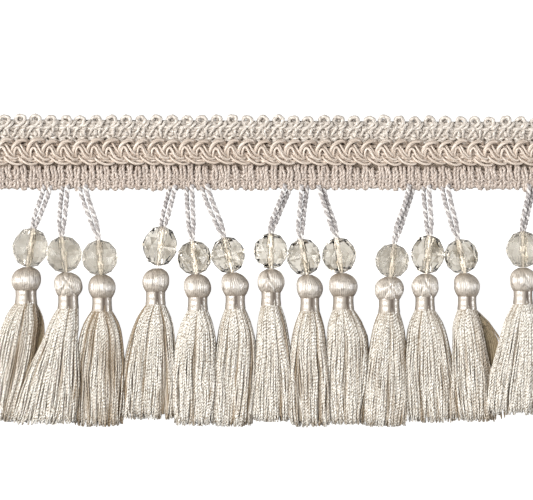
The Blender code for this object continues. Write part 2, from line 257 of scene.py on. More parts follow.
# %% The plied yarn's node group
def plied_yarn_group():
    """Phase = plies * place round + turns * length; the groove is where its sine passes zero.

    On top come fibres along the plies, broad streaks and fine speckle, which are all clouds less
    their average, times the value that the material gives.
    """
    group = bpy.data.node_groups.new("plied_yarn", "ShaderNodeTree")
    face = group.interface
    for name in ("Groove", "Back", "Highlight"):
        face.new_socket(name=name, in_out="INPUT", socket_type="NodeSocketColor")
    for name in ("Plies", "Turns", "Fibre", "Softness", "Dullness", "Streaks", "Speckle"):
        face.new_socket(name=name, in_out="INPUT", socket_type="NodeSocketFloat")
    for name, kind in (("Color", "Color"), ("Height", "Float"), ("Roughness", "Float")):
        face.new_socket(name=name, in_out="OUTPUT", socket_type="NodeSocket" + kind)
    given = add_node(group, "NodeGroupInput").outputs
    parts = add_node(group, "ShaderNodeSeparateXYZ")
    group.links.new(add_node(group, "ShaderNodeUVMap", uv_map="yarn").outputs[0], parts.inputs[0])
    place_round, length = parts.outputs[0], parts.outputs[1]
    tone = add_node(group, "ShaderNodeAttribute", attribute_name="tone").outputs["Fac"]

    def times(first, second):
        """The two terms' product."""
        return maths(group, "MULTIPLY", first, second)

    def strewn(where, scale, detail, amount):
        """Clouds less their average, times an amount."""
        return times(maths(group, "SUBTRACT", clouds(group, where, scale, detail), 0.5), amount)

    def stretched(across, along, apart):
        """A place for clouds that are drawn out along the plies and differ from strand to strand."""
        where = add_node(group, "ShaderNodeCombineXYZ")
        for socket, term, scale in zip(where.inputs, (phase, length, tone), (across, along, apart)):
            group.links.new(times(term, scale), socket)
        return where.outputs[0]

    phase = maths(group, "ADD", times(place_round, given["Plies"]), times(length, given["Turns"]))
    back = maths(group, "ABSOLUTE", maths(group, "SINE", times(phase, math.pi)))
    back = maths(group, "POWER", back, given["Softness"])
    fibres = strewn(stretched(9.0, 0.6, 37.0), 1.0, 2.0, given["Fibre"])
    streaks = strewn(stretched(0.55, 0.09, 11.0), 1.0, 3.0, given["Streaks"])
    where = add_node(group, "ShaderNodeTexCoord").outputs["Object"]
    speckle = strewn(where, 2000.0, 1.0, given["Speckle"])
    lit = back
    for part in (fibres, streaks, speckle):
        lit = maths(group, "ADD", lit, part)
    # Painted shade in the grooves and a painted highlight on the plies' backs. The tone carries random tone,
    # and on the tassels painted shade and highlight as well.
    full = mixed(group, tone, given["Back"], given["Highlight"])
    out = add_node(group, "NodeGroupOutput").inputs
    group.links.new(mixed(group, lit, given["Groove"], full), out["Color"])
    group.links.new(maths(group, "ADD", back, times(fibres, 0.6)), out["Height"])
    group.links.new(maths(group, "SUBTRACT", given["Dullness"], times(lit, 0.1)), out["Roughness"])
    return group


PLIED_YARN = plied_yarn_group()
print("the plied yarn group has", len(PLIED_YARN.nodes), "nodes")


# %% A yarn finish from the group
def yarn_finish(
    name, groove, back, highlight, plies, turns, fibre, softness=0.5, relief=0.1, dullness=0.38,
    lustre=0.8, index=1.5, combed=0.0, streaks=0.0, speckle=0.0,
):
    """A Principled surface whose colour, roughness and bump all come from the plied yarn group.

    combed stretches the highlight round the tube, or along it where it is below zero.
    """
    made, tree, shader = new_material(name)
    group = add_node(tree, "ShaderNodeGroup", node_tree=PLIED_YARN)
    values = (groove, back, highlight, plies, turns, fibre, softness, dullness, streaks, speckle)
    for socket, value in zip(group.inputs, values):
        plug(tree, socket, value)
    bumped(tree, shader, group.outputs["Height"], relief, 0.7)
    tree.links.new(group.outputs["Color"], shader.inputs["Base Color"])
    tree.links.new(group.outputs["Roughness"], shader.inputs["Roughness"])
    shader.inputs["Specular IOR Level"].default_value = lustre
    shader.inputs["IOR"].default_value = index
    if combed:
        shader.inputs["Anisotropic"].default_value = abs(combed)
        shader.inputs["Anisotropic Rotation"].default_value = 0.0 if combed > 0 else 0.25
        round_it = add_node(tree, "ShaderNodeTangent", direction_type="UV_MAP", uv_map="yarn")
        tree.links.new(round_it.outputs[0], shader.inputs["Tangent"])
    return made


# %% [markdown]
# ## The heading tape
# Everything in the heading is worked on a narrow woven tape, which shows only as the dark ground
# between the cords. It is a thin closed sheet, so a grid with a little thickness is enough, with
# a plain weave from two crossed waves on Object coordinates.

# %% The heading's measures, in millimetres
LOOPS = 42
PITCH = 4.54
LENGTH = LOOPS * PITCH
LOW = 23.8
DRAW_IN = 0.045
TAPE_LOW, TAPE_WIDTH, TAPE_THICK = 24.7, 20.5, 0.5


def drawn_in(points):
    """Scales heights above the lower edge by 1 at the left end down to 1 - DRAW_IN at the right."""
    part = points[..., 0] / LENGTH + 0.5
    drawn = points.copy()
    drawn[..., 1] = LOW + (points[..., 1] - LOW) * (1 - DRAW_IN * part)
    return drawn


def cut_ends(points):
    """Presses whatever runs past the trim's two ends flat on to the cuts."""
    return np.concatenate([np.clip(points[:, :1], -LENGTH / 2 * MM, LENGTH / 2 * MM), points[:, 1:]], axis=1)


print("the heading is", round(LENGTH, 1), "mm long")


# %% Weave the tape's finish
def tape_finish():
    """Weave = half + half * sine along the warp * sine along the weft."""
    made, tree, shader = new_material("tape_weave")
    parts = add_node(tree, "ShaderNodeSeparateXYZ")
    tree.links.new(add_node(tree, "ShaderNodeTexCoord").outputs["Object"], parts.inputs[0])
    warp = maths(tree, "SINE", maths(tree, "MULTIPLY", parts.outputs[0], 2 * math.pi / (0.9 * MM)))
    weft = maths(tree, "SINE", maths(tree, "MULTIPLY", parts.outputs[1], 2 * math.pi / (0.7 * MM)))
    weave = maths(tree, "MULTIPLY_ADD", maths(tree, "MULTIPLY", warp, weft), 0.5, 0.5)
    tree.links.new(mixed(tree, weave, (0.26, 0.20, 0.15), (0.46, 0.38, 0.31)), shader.inputs["Base Color"])
    bumped(tree, shader, weave, 0.1)
    tree.links.new(maths(tree, "MULTIPLY_ADD", weave, -0.15, 0.95), shader.inputs["Roughness"])
    return made


# %% Lay the tape
def tape_surface():
    """x runs along the heading and y across it; the section is a thin rectangle, drawn in."""
    x = np.linspace(-LENGTH / 2, LENGTH / 2, 64)
    high = TAPE_LOW + TAPE_WIDTH
    y = np.array([TAPE_LOW, TAPE_LOW, high, high])
    z = np.array([0.02, TAPE_THICK, TAPE_THICK, 0.02])
    grid = np.stack(np.broadcast_arrays(x[:, None], y[None], z[None]), axis=-1)
    return skin(drawn_in(grid)[:, ::-1] * MM)


tape = dress("tape_cloth", [tape_surface()], "heading_tape", [tape_finish()], smooth=False)
print("tape", triangles(tape), "triangles")

# %% [markdown]
# ## The heading's cords
# Three trimmings lie on the tape. Each is one cord bent into the same loop over and over, so a
# loop is drawn once as a smooth curve through a few points and repeated 42 times, with a small
# change from loop to loop, because hand-fed cord is never quite even. Points along the cord are
# written in millimetres: x from the loop's own start, y up the heading, z above the table.

# %% Curves through points, and their repeats
noise = np.random.default_rng(7)


def through(knots, stations):
    """A Catmull-Rom curve: each span is the cubic whose ends are two knots, and whose slopes
    there are half the step between each knot's neighbours."""
    knots = np.asarray(knots, float)
    padded = np.concatenate([2 * knots[:1] - knots[1:2], knots, 2 * knots[-1:] - knots[-2:-1]])
    t = np.linspace(0, len(knots) - 1, stations)
    span = np.minimum(t.astype(int), len(knots) - 2)
    t = (t - span)[:, None]
    a, b, c, d = (padded[span + k] for k in range(4))
    return 0.5 * (2 * b + (c - a) * t + (2 * a - 5 * b + 4 * c - d) * t**2 + (3 * b - a - 3 * c + d) * t**3)


def repeated(loop, uneven, wobble):
    """A copy of the loop at each pitch, moved and widened at random, plus a wobble along it."""
    x0 = -LENGTH / 2 + PITCH * np.arange(LOOPS)
    paths = np.repeat(loop[None], LOOPS, axis=0)
    shift = noise.normal(0, uneven, (LOOPS, 1, 3)) * (1, 1, 0.5)
    size = 1 + noise.normal(0, uneven * 0.25, (LOOPS, 1, 3)) * (1, 1, 0)
    middle = loop.mean(axis=0)
    paths = middle + (paths - middle) * size + shift
    paths[..., 0] += x0[:, None]
    beat = np.arange(len(loop))[None, :, None] * noise.uniform(0.7, 1.5, (LOOPS, 1, 3))
    return paths + wobble * np.sin(beat + noise.uniform(0, 6.3, (LOOPS, 1, 3)))


def cords(loop, radius, sides=8, uneven=0.15, wobble=0.0):
    """The tubes of a repeated loop, drawn in with the heading and cut off at its ends."""
    paths = drawn_in(repeated(loop, uneven, wobble))
    tone, slide = noise.uniform(0.2, 0.8, LOOPS), noise.uniform(0, 3, LOOPS)
    points, faces, tones = sweep(paths * MM, radius * MM, sides, tone, slide)
    return cut_ends(points), faces, tones


arch = through([(0, 0, 0), (1, 1, 0), (2, 0, 0)], 5)
print("an arch through three points", arch[:, :2].round(2).tolist())


# %% Ground yarns that run the whole length under the loops
def ground_yarns(heights, lift, sway, radius=0.6):
    """y = height + sway * sine of a wave of about two thirds of a loop, with a drift in phase."""
    x = np.linspace(-LENGTH / 2, LENGTH / 2, 460)[None]
    heights = np.asarray(heights)[:, None]
    phase = noise.uniform(0, 6, heights.shape)
    drift = phase + 0.8 * np.sin(x / 11 + phase)
    y = heights + sway * np.sin(2 * np.pi * x / (PITCH * 0.64) + drift)
    z = lift + 0.2 * np.sin(2 * np.pi * x / (PITCH * 0.5) + 2 * drift)
    paths = drawn_in(np.stack(np.broadcast_arrays(x, y, z), axis=-1))
    return sweep(paths * MM, radius * MM, 6, tone=noise.uniform(0.2, 0.8, len(heights)))


# %% [markdown]
# ### Scroll gimp
# The upper band is a cord thrown in coils, whose rings stand past the tape as round picots. A
# coil's height is a cosine and its place along the heading is a straight run plus a sine, which
# carries the cord back over itself once in every pitch. Short bars and a slower coil fill the
# band below, and the deeper core closes each ring from behind, as the tangled cord does.

# %% Lay the scroll gimp
part = np.linspace(0, 1, 34)
once = 2 * np.pi * part
picot = np.stack(
    [PITCH * part + 2.3 * np.sin(once), 44.5 - 1.78 * np.cos(once), 2.2 + 0.45 * np.sin(once)], axis=1
)
stem = np.stack(
    [PITCH * part + 1.05 * np.sin(once), 41.8 + 1.1 * np.cos(once), 2.0 - 0.4 * np.cos(once)], axis=1
)
turn = np.linspace(0, 2 * np.pi * 1.04, 11)
core = np.stack([PITCH / 2 + 0.34 * np.sin(turn), 45.35 + 0.3 * np.cos(turn), 0.85 + 0 * turn], axis=1)
bar = through([(-0.1, 40.3, 1.7), (0.75, 41.9, 2.5), (1.4, 42.8, 2.7), (1.75, 43.8, 2.2)], 10)
upright = through([(3.3, 39.9, 1.7), (3.05, 41.5, 2.5), (3.2, 42.4, 2.6), (3.6, 43.3, 2.0)], 10)
rise = through([(2.5, 42.8, 2.3), (3.4, 43.1, 2.9), (4.2, 44.0, 3.0), (4.6, 44.8, 2.4)], 10)
scroll_yarn = yarn_finish(
    "scroll_yarn", (0.45, 0.40, 0.355), (0.60, 0.54, 0.48), (0.79, 0.73, 0.66),
    plies=2, turns=0.5, fibre=0.4, dullness=0.4, speckle=0.8,
)
coils = [cords(picot, 0.57, uneven=0.17, wobble=0.1), cords(core, 0.42, sides=6, uneven=0.12)]
bars = [cords(loop, 0.42, uneven=0.2, wobble=0.1) for loop in (bar, rise, upright)]
stems = [cords(stem, 0.44, uneven=0.2, wobble=0.2)]
ground = [ground_yarns([38.9, 40.0], 1.25, 0.4), ground_yarns([41.1, 42.2], 1.45, 0.2)]
ground += [ground_yarns([43.3, 44.4], 1.75, 0.2)]
scroll = dress("scroll_cords", coils + bars + stems + ground, "scroll_gimp", [scroll_yarn])
print("scroll gimp", triangles(scroll), "triangles")

# %% [markdown]
# ### Centre braid
# The raised middle is a braid of glossy cord: an arc over the top, and a hairpin that passes under
# it and runs on into a long arc along the bottom. Each cord has its own heights, so that it goes
# over one neighbour and under the next.

# %% Lay the centre braid
upper_arc = through(
    [(-0.1, 33.8, 1.9), (-0.1, 35.1, 2.4), (0.1, 36.4, 3.0), (0.75, 37.7, 3.4), (1.8, 38.6, 3.5),
     (3.0, 39.0, 3.2), (4.0, 38.8, 2.5), (4.5, 38.2, 1.6)],
    22,
)
hairpin = through(
    [(0.8, 33.6, 2.2), (0.75, 34.9, 2.8), (0.95, 36.2, 3.1), (1.6, 36.85, 3.3), (2.25, 36.3, 3.4),
     (2.8, 35.2, 3.5), (3.6, 34.1, 3.5), (4.6, 33.45, 3.3), (5.6, 33.4, 2.9), (6.4, 34.0, 2.2)],
    26,
)
second_leg = through(
    [(2.3, 37.9, 2.3), (2.75, 37.4, 2.8), (3.2, 36.6, 3.0), (3.8, 35.6, 3.1), (4.5, 34.8, 2.9),
     (5.3, 34.3, 2.2)],
    16,
)
lower_arc = through(
    [(1.5, 34.6, 2.2), (2.1, 33.7, 2.8), (3.2, 32.75, 3.1), (4.5, 32.1, 3.2), (5.8, 31.9, 3.1),
     (7.0, 32.2, 2.6), (7.7, 32.8, 2.0)],
    20,
)
braid_yarn = yarn_finish(
    "braid_satin", (0.39, 0.31, 0.245), (0.63, 0.52, 0.43), (0.84, 0.74, 0.65),
    plies=3, turns=0.3, fibre=0.6, speckle=0.7,
)
arcs = [cords(upper_arc, 0.58), cords(hairpin, 0.41), cords(second_leg, 0.4, sides=6), cords(lower_arc, 0.4)]
ground = [ground_yarns([32.9, 34.0, 35.1, 36.2], 1.85, 0.2), ground_yarns([37.4], 1.0, 0.2)]
braid = dress("braid_cords", arcs + ground, "centre_braid", [braid_yarn])
print("centre braid", triangles(braid), "triangles")

# %% [markdown]
# ### Ribbed gimp
# The lower band is a cord that goes down and up in narrow hairpins, two to a loop of the braid,
# and turns back in a small ring at the edge. Ground yarns fill the gaps between the ribs, and one
# thin binder weaves across them near the edge.

# %% Lay the ribbed gimp
bend = np.linspace(0, np.pi, 9)


def rib_path(lean):
    """Down one leg, half way round a small circle, and up the other; lean moves the top sideways."""
    down = [(-0.4 + lean, 31.3, 1.7), (-0.42 + lean * 0.8, 30.2, 2.1)]
    down += [(-0.44 + lean * 0.2, 28.5, 2.3), (-0.42, 26.6, 2.2)]
    turned = np.stack([-0.46 * np.cos(bend), 24.9 - 0.5 * np.sin(bend), 2.1 - 0.4 * np.sin(bend)], axis=1)
    back_up = [(0.42, 26.6, 2.3), (0.44 + lean * 0.2, 28.5, 2.4)]
    back_up += [(0.42 + lean * 0.8, 30.2, 2.2), (0.4 + lean, 31.3, 1.7)]
    return through(np.concatenate([down, turned, back_up]), 34)


gimp_yarn = yarn_finish(
    "gimp_yarn", (0.37, 0.30, 0.25), (0.48, 0.395, 0.34), (0.68, 0.59, 0.52),
    plies=2, turns=0.8, fibre=0.6, relief=0.2, dullness=0.4, speckle=1.1,
)
hairpins = [
    cords(rib_path(lean) + (PITCH * along, 0, 0), 0.48, uneven=0.19, wobble=0.18)
    for lean, along in ((-0.05, 0.25), (-0.35, 0.75))
]
ground = [ground_yarns([25.2, 26.3, 27.4, 28.5], 1.75, 0.25), ground_yarns([29.6], 1.25, 0.2)]
binder = [ground_yarns([26.9], 2.5, 0.5, radius=0.34)]
ribs = dress("rib_cords", hairpins + ground + binder, "ribbed_gimp", [gimp_yarn])
print("ribbed gimp", triangles(ribs), "triangles")

# %% [markdown]
# ## Where each tassel hangs
# One row of measures places a hanger, its bead, its head and its skirt. The same numbers made
# the solids, so the dressed pieces fall on them without any fitting.

# %% The fifteen tassels
COLUMNS = "root_x bead_x bead_y bead_d head_x head_y head_w belly_l belly_r hem_l hem_r hem_y".split()
ROWS = [
    (-75.9, -80.8, 6.7, 10.2, -82.2, -2.6, 8.7, -90.2, -77.6, -94.0, -86.3, -45.3),
    (-70.7, -70.8, 4.7, 10.2, -69.6, -4.2, 8.3, -77.0, -67.1, -85.7, -68.3, -46.2),
    (-65.6, -60.1, 3.7, 10.2, -59.5, -4.8, 8.0, -66.5, -53.1, -67.8, -54.0, -46.8),
    (-38.5, -42.1, 7.2, 10.0, -43.5, -3.0, 7.9, -51.0, -37.9, -53.4, -38.4, -44.7),
    (-33.5, -31.9, 3.7, 9.7, -30.9, -4.7, 8.0, -37.2, -25.5, -37.9, -27.0, -46.5),
    (-29.0, -21.8, 4.5, 9.7, -19.7, -4.2, 8.0, -24.8, -13.9, -26.5, -15.2, -46.8),
    (-4.0, -9.1, 5.7, 9.7, -9.0, -3.2, 7.9, -13.2, -4.0, -14.6, -2.6, -45.3),
    (1.0, 0.8, 3.9, 9.7, 2.6, -4.9, 7.7, -2.7, 7.2, -2.1, 8.1, -46.9),
    (5.9, 11.3, 4.4, 9.7, 12.6, -4.4, 8.4, 7.8, 20.1, 8.6, 18.1, -46.2),
    (33.1, 27.2, 2.8, 9.7, 26.3, -5.4, 8.5, 20.7, 31.3, 18.6, 30.9, -46.8),
    (37.4, 37.8, 4.7, 9.7, 37.0, -4.6, 7.9, 31.8, 44.0, 31.4, 46.4, -45.6),
    (43.0, 47.8, 4.1, 9.7, 49.6, -4.4, 7.6, 45.6, 58.5, 46.9, 54.9, -45.3),
    (69.0, 66.2, 6.2, 9.7, 66.3, -2.8, 7.8, 59.7, 72.0, 55.4, 71.7, -43.2),
    (74.1, 76.5, 3.9, 9.7, 77.4, -4.8, 8.0, 72.6, 83.7, 72.2, 83.7, -46.5),
    (78.9, 86.9, 4.7, 9.7, 88.5, -4.2, 8.0, 84.3, 93.6, 84.2, 93.9, -45.6),
]
TASSELS = [dict(zip(COLUMNS, row)) for row in ROWS]
LEVEL = math.cos(math.pi / 10)
print(len(TASSELS), "tassels")


# %% Bead and head places
BEAD_GIRTH = 1.08


def to_head(row):
    """The distance from the bead's middle to the head's."""
    return math.hypot(row["head_x"] - row["bead_x"], row["head_y"] - row["bead_y"])


def head_half_height(row):
    """What the bead leaves of the way to the head's middle, but at most 3.5 mm."""
    return min(3.5, to_head(row) - 0.92 * row["bead_d"] / 2 - 0.35)


def bead_end(row):
    """Half the bead's length over its radius: as far as the head lets it reach, but at most 1.17."""
    return min(1.17, max(1.03, (to_head(row) - head_half_height(row)) / row["bead_d"] * 2 - 0.02))


def bead_place(row):
    """The bead's centre and the level direction of its hole, towards the head."""
    centre = np.array([row["bead_x"], row["bead_y"], row["bead_d"] / 2 * BEAD_GIRTH])
    axis = np.array([row["head_x"] - row["bead_x"], row["head_y"] - row["bead_y"], 0.0])
    return centre, unit(axis)


print("the beads' half lengths in radii", [round(bead_end(row), 2) for row in TASSELS])


# %% [markdown]
# ## Hangers
# A hanger is a loop of twisted cord: two legs side by side, each of two plies. The plies are
# real geometry here, because their twist shows in silhouette against the white table. Each is a
# small circle that winds round its leg, while the leg itself slowly winds round the hanger.

# %% The line of each hanger
def hanger_line(row):
    """A cubic curve from the heading to the bead, then straight on through it into the head."""
    centre, axis = bead_place(row)
    start = np.array([row["root_x"], LOW + 1.6, 2.2])
    entry = centre - axis * (row["bead_d"] / 2 * 0.92 + 0.9)
    reach = np.linalg.norm(entry - start)
    straight_on = unit(entry - start)
    ahead = start + 0.35 * reach * unit(straight_on + (0, -0.45, 0))
    before = entry - 0.35 * reach * unit(straight_on + 0.6 * axis)
    t = np.linspace(0, 1, 40)[:, None]
    s = 1 - t
    bent = start * s**3 + ahead * 3 * s * s * t + before * 3 * s * t * t + entry * t**3
    last = centre + axis * (to_head(row) - 2.6)
    last[2] = row["head_w"] / 2 * LEVEL + 0.5
    straight = entry + (last - entry) * np.linspace(0, 1, 24)[1:, None]
    return np.concatenate([bent, straight])


def evenly(line, step):
    """The same line again, as points an equal step apart along it."""
    length = lengths_along(line)
    places = np.linspace(0, length[-1], max(8, int(length[-1] / step)))
    return np.stack([np.interp(places, length, line[:, k]) for k in range(3)], axis=1), places


lines = [lengths_along(hanger_line(row))[-1] for row in TASSELS]
print("the hangers' lines in mm", np.round(lines, 1).tolist())


# %% Wind four plies along each hanger
LEG_OFFSET, PLY_OFFSET, PLY_RADIUS = 0.74, 0.38, 0.41
PLY_TURN = 2.8


def wound_plies(row, start_turn):
    """Ply = line + leg offset turned slowly + ply offset turned once every PLY_TURN mm.

    Near the bead and in its hole the loop is drawn tight, so both offsets and the plies shrink.
    """
    line, places = evenly(hanger_line(row), 0.26)
    sideways, upwards = square_to(line)

    def offset(size, angle):
        """The size, turned by the angle round the line."""
        return size[:, None] * (np.cos(angle)[:, None] * sideways + np.sin(angle)[:, None] * upwards)

    from_bead = places - places[-1] + row["bead_d"]
    squeeze = np.clip((from_bead + 6) / 7, 0, 1)
    leg_angle = start_turn + 0.35 * np.sin(places * 0.22 + start_turn)
    leg_size = LEG_OFFSET * (1 - 0.75 * squeeze) + 0.2 * np.clip(1 - places / 14, 0, 1)
    ply_size = PLY_OFFSET * (1 - 0.52 * squeeze)
    paths = []
    for leg in (0, np.pi):
        for ply in (0, np.pi):
            wind = 2 * np.pi * places / PLY_TURN + ply + leg * 0.5
            paths.append(line + (offset(leg_size, leg_angle + leg) + offset(ply_size, wind)))
    tones = (np.array([0.1, 0.8, 0.1, 0.8]) + noise.uniform(-0.1, 0.1, 4))[:, None]
    # Painted highlight: in and near the bead's hole the plies are painted at their palest, so the cord shows
    # white through the glass.
    inside = np.clip(from_bead + 1.5, 0, 1)
    tones = tones + inside * (1.0 - tones)
    thick = PLY_RADIUS * (1 - 0.46 * squeeze)
    return sweep(np.array(paths) * MM, thick * MM, 7, tone=tones, slide=noise.uniform(0, 2, 4))


hanger_yarn = yarn_finish(
    "hanger_cord", (0.27, 0.245, 0.245), (0.39, 0.36, 0.355), (0.93, 0.90, 0.87),
    plies=1, turns=0.1, fibre=0.8, relief=0.05, lustre=0.9, speckle=0.8,
)
for number, row in enumerate(TASSELS, start=1):
    plies = wound_plies(row, noise.uniform(-0.5, 0.5))
    hanger = dress(f"twisted_hanger_{number:02d}", [plies], f"hanger_{number:02d}", [hanger_yarn])
print("each hanger", triangles(hanger), "triangles")

# %% [markdown]
# ## Cut beads
# The beads are clear and cut all over with flat facets. A turned ball would be smooth, so the
# rings of corners are joined by triangles, each of which is a facet, and the belt's ring is turned
# half a step. A narrow hole runs through, and the cord inside shows through the glass. A bead is
# drawn a little long where its head stands further off, so that it rests on it.

# %% Facets between rings of corners
BEAD_SIDES = 12
BEAD_HOLE = 0.85
BELT, OUTER_RINGS = 3, 7


def cut_bead(row, turned):
    """Corner = centre + ring's place along the hole + ring's radius * (cosine across, sine up).

    Each facet's tint is a random part of its own, plus painted shade that grows the more nearly upright the
    facet stands.
    The wall of the hole has none, so that the cord in it shows white.
    """
    centre, axis = bead_place(row)
    radius = row["bead_d"] / 2
    up = np.array([0.0, 0.0, 1.0])
    across = np.cross(up, axis)
    end = bead_end(row)
    rings = [(BEAD_HOLE, -end), (0.62 * radius, 0.16 - end), (0.96 * radius, -0.46)]
    rings.append((BEAD_GIRTH * radius, 0.0))
    rings += [(r, -along) for r, along in rings[2::-1]] + [(BEAD_HOLE, 0.4), (BEAD_HOLE, -0.4)]
    places = []
    for ring, (r, along) in enumerate(rings):
        angle = turned + 2 * np.pi * (np.arange(BEAD_SIDES) + 0.5 * (ring == BELT)) / BEAD_SIDES
        turned_up = np.cos(angle)[:, None] * across + np.sin(angle)[:, None] * up
        places.append(centre + along * radius * axis + r * turned_up)
    here = np.arange(BEAD_SIDES)
    after, before = (here + 1) % BEAD_SIDES, (here - 1) % BEAD_SIDES
    chance = np.random.default_rng(int(100 * turned))
    faces, tints = [], []
    for ring in range(len(rings)):
        a, b = ring * BEAD_SIDES, (ring + 1) % len(rings) * BEAD_SIDES
        first, second = chance.uniform(0, 1, (2, BEAD_SIDES))
        if ring + 1 == BELT:
            corners = (a + here, a + after, b + here), (a + here, b + here, b + before)
        else:
            corners = (a + here, a + after, b + after), (a + here, b + after, b + here)
        faces += [np.stack(corner, axis=-1) for corner in corners]
        tints += [first, second if BELT in (ring, ring + 1) else first]
    points, faces, tints = (np.concatenate(part) for part in (places, faces, tints))
    a, b, c = (points[faces[:, k]] for k in range(3))
    # Painted shade: facets that stand more upright get a darker tint.
    level = 1 - np.abs(unit(np.cross(b - a, c - a))[:, 2])
    tints = 1.15 * tints**2 + 0.1 * level**2
    tints[(OUTER_RINGS - 1) * 2 * BEAD_SIDES :] = 0.0
    uv = np.repeat(np.stack([tints, tints], axis=-1)[:, None], 3, axis=1)
    return points * MM, [(faces, uv)], np.full(len(points), 0.5)


print("a bead has", len(cut_bead(TASSELS[0], 0.0)[0]), "corners")


# %% Clear champagne finish
def bead_finish(name, haze, pale, deep):
    """Cut acrylic, clear or hazy. It lets lamps through, so that it casts no black shadow."""
    made, tree, shader = new_material(name)
    cloud = clouds(tree, add_node(tree, "ShaderNodeTexCoord").outputs["Object"], 620.0, 2.0)
    facet = add_node(tree, "ShaderNodeSeparateXYZ")
    tree.links.new(add_node(tree, "ShaderNodeUVMap", uv_map="yarn").outputs[0], facet.inputs[0])
    depth = maths(tree, "MULTIPLY_ADD", facet.outputs[0], 0.75, maths(tree, "MULTIPLY", cloud, 0.3))
    tree.links.new(mixed(tree, depth, pale, deep), shader.inputs["Base Color"])
    tree.links.new(maths(tree, "MULTIPLY_ADD", cloud, 0.06, haze), shader.inputs["Roughness"])
    shader.inputs["Transmission Weight"].default_value = 1.0
    shader.inputs["IOR"].default_value = 1.4
    path = add_node(tree, "ShaderNodeLightPath")
    clear = add_node(tree, "ShaderNodeBsdfTransparent")
    clear.inputs["Color"].default_value = (0.93, 0.92, 0.9, 1)
    mix = add_node(tree, "ShaderNodeMixShader")
    tree.links.new(path.outputs["Is Shadow Ray"], mix.inputs[0])
    tree.links.new(shader.outputs[0], mix.inputs[1])
    tree.links.new(clear.outputs[0], mix.inputs[2])
    tree.links.new(mix.outputs[0], tree.nodes["Material Output"].inputs["Surface"])
    return made


# %% Thread the beads
bead_clear = bead_finish("cut_bead_clear", 0.0, (0.95, 0.92, 0.86), (0.24, 0.21, 0.16))
bead_hazy = bead_finish("cut_bead_hazy", 0.14, (0.74, 0.71, 0.65), (0.34, 0.31, 0.26))
HAZY = (1, 2, 3, 10, 13)
for number, row in enumerate(TASSELS, start=1):
    facets = cut_bead(row, 0.31 * number)
    glass = bead_hazy if number in HAZY else bead_clear
    bead = dress(f"cut_bead_{number:02d}", [facets], f"bead_{number:02d}", [glass], smooth=False)
print("each bead", triangles(bead), "facets")

# %% [markdown]
# ## Tassels
# A tassel is a hank of floss folded over a small ball, bound under it, and cut at the hem. The
# head is a turned shape whose radius rises and falls a little round it, which gives the strands
# of floss. The neck is a tight binding. The skirt is a hundred plied strands, which start inside
# the binding as a round bundle and spread into a flat, wide one on the table.


# %% Smooth values between knots
def eased(x, knots, values):
    """Cubic Hermite values between knots, with slopes from the neighbours, flat at turning points."""
    knots, values = np.asarray(knots, float), np.asarray(values, float)
    step = np.diff(values) / np.diff(knots)
    slope = np.concatenate([step[:1], (step[1:] + step[:-1]) / 2, step[-1:]])
    slope[1:-1][step[1:] * step[:-1] <= 0] = 0
    x = np.clip(x, knots[0], knots[-1])
    span = np.clip(np.searchsorted(knots, x, side="right") - 1, 0, len(knots) - 2)
    width = knots[span + 1] - knots[span]
    t = (x - knots[span]) / width
    return (
        values[span] * (2 * t**3 - 3 * t**2 + 1)
        + slope[span] * width * (t**3 - 2 * t**2 + t)
        + values[span + 1] * (3 * t**2 - 2 * t**3)
        + slope[span + 1] * width * (t**3 - t**2)
    )


def bell(angle, middle, width):
    """e to the power of minus the square of the distance from the middle over the width."""
    return np.exp(-(((angle - middle) / width) ** 2))


print("half way between 0, 1 and 1", eased(np.array([0.5, 1.5]), [0, 1, 2], [0, 1, 1]).round(3).tolist())


# %% Head and bound neck
NECK = 0.78
NECK_DROP = 7.6
HEAD_KNOTS = [-1.0, -0.78, -0.3, 0.2, 0.72, 1.0]
HEAD_GIRTH = [0.34, 0.68, 0.95, 1.0, 0.88, 0.74]
BINDING_TURNS = 13


def turned_skin(row, lean, drop, girth, angle, tone):
    """x = head + lean - girth * cosine, y = head - drop, height = axis + girth * sine."""
    x = row["head_x"] + lean - girth * np.cos(angle)
    y = row["head_y"] - drop + 0 * angle
    z = np.maximum(row["head_w"] / 2 * LEVEL + girth * np.sin(angle), 0.02)
    return skin(np.stack([x, y, z], axis=-1) * MM, np.clip(tone, 0, 1))


def floss_head(row, ridges, slant, lump, phase, pale, folds=()):
    """Radius = profile * (1 + ridge height * rounded wave round the head + low lumps - folds)."""
    half = head_half_height(row)
    drop = np.linspace(-1.0, 1.0, 25)[:, None]
    angle = 2 * np.pi * np.arange(120)[None] / 120
    girth = row["head_w"] / 2 * eased(drop[:, 0], HEAD_KNOTS, HEAD_GIRTH)[:, None]
    wind = ridges * angle / 2 + slant * drop * ridges / 2 + phase
    ridge = np.abs(np.sin(wind)) ** 0.7
    lumps = np.sin(3 * angle + phase * 5 + 2.2 * drop) * np.cos(2.5 * drop + phase)
    fade = 1 - 0.5 * np.abs(drop) ** 4
    girth = girth * (0.965 + (0.06 * ridge + lump * lumps) * fade)
    for where, slope, depth in folds:
        girth = girth * (1 - depth * bell(angle - where, slope * drop, 0.11))
    lean = np.maximum(0, -drop) * half * (row["bead_x"] - row["head_x"]) / (row["bead_y"] - row["head_y"])
    # Painted shade: darker towards the top and bottom of the head, most at the top under the bead, and on
    # the right side and at both edges. The small wave round the head is tone that differs.
    tone = pale - 0.75 * np.abs(drop) ** 3 - 0.3 * np.maximum(0, -drop) ** 2
    tone = tone + 0.12 * np.sin(5 * angle + phase)
    tone = tone - 0.3 * np.maximum(0, -np.cos(angle)) ** 3 - 0.15 * np.abs(np.cos(angle)) ** 6
    return turned_skin(row, lean, drop * half, girth, angle, tone)


